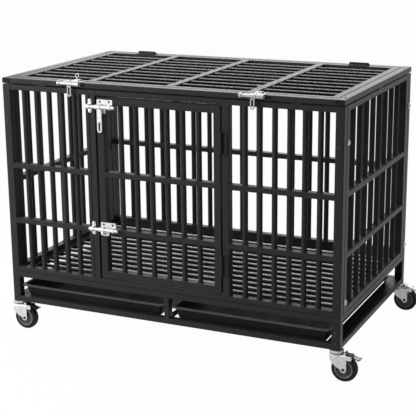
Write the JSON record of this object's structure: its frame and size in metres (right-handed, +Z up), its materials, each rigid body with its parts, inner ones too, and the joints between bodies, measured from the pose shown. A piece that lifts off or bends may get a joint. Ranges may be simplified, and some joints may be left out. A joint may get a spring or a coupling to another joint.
{
  "type": "dog cage",
  "caption": "Steel bar dog cage on swivel casters, with a front door, a hinged lid, sliding bolts and pull-out trays under the floor.",
  "frame": {"origin": "on the floor, under the middle of the cage's frame", "axes": "+X along the cage's length to the right, -Y out of the front with the door, +Z up"},
  "size_m": [1.1355, 0.679, 0.8103],
  "materials": {
    "powder_coat": "charcoal powder coat, fine texture, satin",
    "zinc_plate": "bright zinc plate",
    "tray_plastic": "black plastic with a soft gloss",
    "tyre_rubber": "black rubber, matt",
    "hub_plastic": "grey moulded plastic",
    "pedal_black": "black moulded pedal"
  },
  "bodies": {
    "cage": {"base_frame": "powder_coat", "floor_grate": "powder_coat", "front_left_bay": "powder_coat", "front_right_bay": "powder_coat", "door_sill_rail": "powder_coat", "door_head_rail": "powder_coat", "rear_panel": "powder_coat", "left_panel": "powder_coat", "right_panel": "powder_coat", "top_frame": "powder_coat", "upper_door_hinge_fixed": "powder_coat", "lower_door_hinge_fixed": "powder_coat", "left_lid_hinge_fixed": "powder_coat", "right_lid_hinge_fixed": "powder_coat", "upper_bolt_keeper": "zinc_plate", "lower_bolt_keeper": "zinc_plate", "left_lid_bolt_keeper": "zinc_plate", "right_lid_bolt_keeper": "zinc_plate", "front_left_caster_plate": "zinc_plate", "front_right_caster_plate": "zinc_plate", "rear_left_caster_plate": "zinc_plate", "rear_right_caster_plate": "zinc_plate"},
    "door": {"door": "powder_coat", "upper_door_hinge_moving": "powder_coat", "lower_door_hinge_moving": "powder_coat", "upper_bolt_body": "zinc_plate", "lower_bolt_body": "zinc_plate"},
    "upper_bolt": {"upper_bolt_rod": "zinc_plate"},
    "upper_bolt_handle": {"upper_bolt_handle": "zinc_plate"},
    "lower_bolt": {"lower_bolt_rod": "zinc_plate", "lower_bolt_grip": "zinc_plate"},
    "lid": {"lid": "powder_coat", "left_lid_hinge_moving": "powder_coat", "right_lid_hinge_moving": "powder_coat", "left_lid_bolt_body": "zinc_plate", "right_lid_bolt_body": "zinc_plate"},
    "left_lid_bolt": {"left_lid_bolt_rod": "zinc_plate"},
    "left_lid_bolt_handle": {"left_lid_bolt_handle": "zinc_plate"},
    "right_lid_bolt": {"right_lid_bolt_rod": "zinc_plate"},
    "right_lid_bolt_handle": {"right_lid_bolt_handle": "zinc_plate"},
    "left_tray": {"left_tray": "tray_plastic"},
    "right_tray": {"right_tray": "tray_plastic"},
    "front_left_swivel": {"front_left_fork": "zinc_plate"},
    "front_left_wheel": {"front_left_tyre": "tyre_rubber", "front_left_hub": "hub_plastic"},
    "front_left_brake": {"front_left_brake_pedal": "pedal_black"},
    "front_right_swivel": {"front_right_fork": "zinc_plate"},
    "front_right_wheel": {"front_right_tyre": "tyre_rubber", "front_right_hub": "hub_plastic"},
    "front_right_brake": {"front_right_brake_pedal": "pedal_black"},
    "rear_left_swivel": {"rear_left_fork": "zinc_plate"},
    "rear_left_wheel": {"rear_left_tyre": "tyre_rubber", "rear_left_hub": "hub_plastic"},
    "rear_left_brake": {"rear_left_brake_pedal": "zinc_plate"},
    "rear_right_swivel": {"rear_right_fork": "zinc_plate"},
    "rear_right_wheel": {"rear_right_tyre": "tyre_rubber", "rear_right_hub": "hub_plastic"},
    "rear_right_brake": {"rear_right_brake_pedal": "zinc_plate"}
  },
  "joints": [
    {"name": "door_hinge", "type": "hinge", "parent": "cage", "child": "door", "pos_m": [0.18, -0.3306, 0.471], "axis": [0, 0, 1], "range_deg": [0, 170]},
    {"name": "upper_bolt_slide", "type": "slide", "parent": "door", "child": "upper_bolt", "axis": [1, 0, 0], "range_m": [0, 0.022]},
    {"name": "upper_handle_turn", "type": "hinge", "parent": "upper_bolt", "child": "upper_bolt_handle", "pos_m": [-0.1987, -0.3355, 0.725], "axis": [-1, 0, 0], "range_deg": [0, 180]},
    {"name": "lower_bolt_slide", "type": "slide", "parent": "door", "child": "lower_bolt", "axis": [1, 0, 0], "range_m": [0, 0.022]},
    {"name": "lid_hinge", "type": "hinge", "parent": "cage", "child": "lid", "pos_m": [0, 0.299, 0.7946], "axis": [-1, 0, 0], "range_deg": [0, 175]},
    {"name": "left_lid_bolt_slide", "type": "slide", "parent": "lid", "child": "left_lid_bolt", "axis": [-1, 0, 0], "range_m": [0, 0.024]},
    {"name": "left_lid_handle_turn", "type": "hinge", "parent": "left_lid_bolt", "child": "left_lid_bolt_handle", "pos_m": [-0.2964, -0.335, 0.787], "axis": [-1, 0, 0], "range_deg": [0, 180]},
    {"name": "right_lid_bolt_slide", "type": "slide", "parent": "lid", "child": "right_lid_bolt", "axis": [-1, 0, 0], "range_m": [0, 0.024]},
    {"name": "right_lid_handle_turn", "type": "hinge", "parent": "right_lid_bolt", "child": "right_lid_bolt_handle", "pos_m": [0.2766, -0.335, 0.787], "axis": [-1, 0, 0], "range_deg": [0, 180]},
    {"name": "left_tray_slide", "type": "slide", "parent": "cage", "child": "left_tray", "axis": [0, -1, 0], "range_m": [0, 0.56]},
    {"name": "right_tray_slide", "type": "slide", "parent": "cage", "child": "right_tray", "axis": [0, -1, 0], "range_m": [0, 0.56]},
    {"name": "front_left_swivel_turn", "type": "hinge", "parent": "cage", "child": "front_left_swivel", "pos_m": [-0.521, -0.3125, 0.085], "axis": [0, 0, 1], "continuous": true},
    {"name": "front_left_wheel_spin", "type": "hinge", "parent": "front_left_swivel", "child": "front_left_wheel", "pos_m": [-0.497, -0.3125, 0.0375], "axis": [0, 1, 0], "continuous": true},
    {"name": "front_left_brake_press", "type": "hinge", "parent": "front_left_swivel", "child": "front_left_brake", "pos_m": [-0.495, -0.3125, 0.0837], "axis": [0, 1, 0], "range_deg": [0, 10]},
    {"name": "front_right_swivel_turn", "type": "hinge", "parent": "cage", "child": "front_right_swivel", "pos_m": [0.521, -0.3125, 0.085], "axis": [0, 0, 1], "continuous": true},
    {"name": "front_right_wheel_spin", "type": "hinge", "parent": "front_right_swivel", "child": "front_right_wheel", "pos_m": [0.545, -0.3125, 0.0375], "axis": [0, 1, 0], "continuous": true},
    {"name": "front_right_brake_press", "type": "hinge", "parent": "front_right_swivel", "child": "front_right_brake", "pos_m": [0.547, -0.3125, 0.0837], "axis": [0, 1, 0], "range_deg": [0, 10]},
    {"name": "rear_left_swivel_turn", "type": "hinge", "parent": "cage", "child": "rear_left_swivel", "pos_m": [-0.521, 0.3125, 0.085], "axis": [0, 0, 1], "continuous": true},
    {"name": "rear_left_wheel_spin", "type": "hinge", "parent": "rear_left_swivel", "child": "rear_left_wheel", "pos_m": [-0.497, 0.3125, 0.0375], "axis": [0, 1, 0], "continuous": true},
    {"name": "rear_left_brake_press", "type": "hinge", "parent": "rear_left_swivel", "child": "rear_left_brake", "pos_m": [-0.495, 0.3125, 0.0837], "axis": [0, 1, 0], "range_deg": [0, 10]},
    {"name": "rear_right_swivel_turn", "type": "hinge", "parent": "cage", "child": "rear_right_swivel", "pos_m": [0.521, 0.3125, 0.085], "axis": [0, 0, 1], "continuous": true},
    {"name": "rear_right_wheel_spin", "type": "hinge", "parent": "rear_right_swivel", "child": "rear_right_wheel", "pos_m": [0.545, 0.3125, 0.0375], "axis": [0, 1, 0], "continuous": true},
    {"name": "rear_right_brake_press", "type": "hinge", "parent": "rear_right_swivel", "child": "rear_right_brake", "pos_m": [0.547, 0.3125, 0.0837], "axis": [0, 1, 0], "range_deg": [0, 10]}
  ]
}
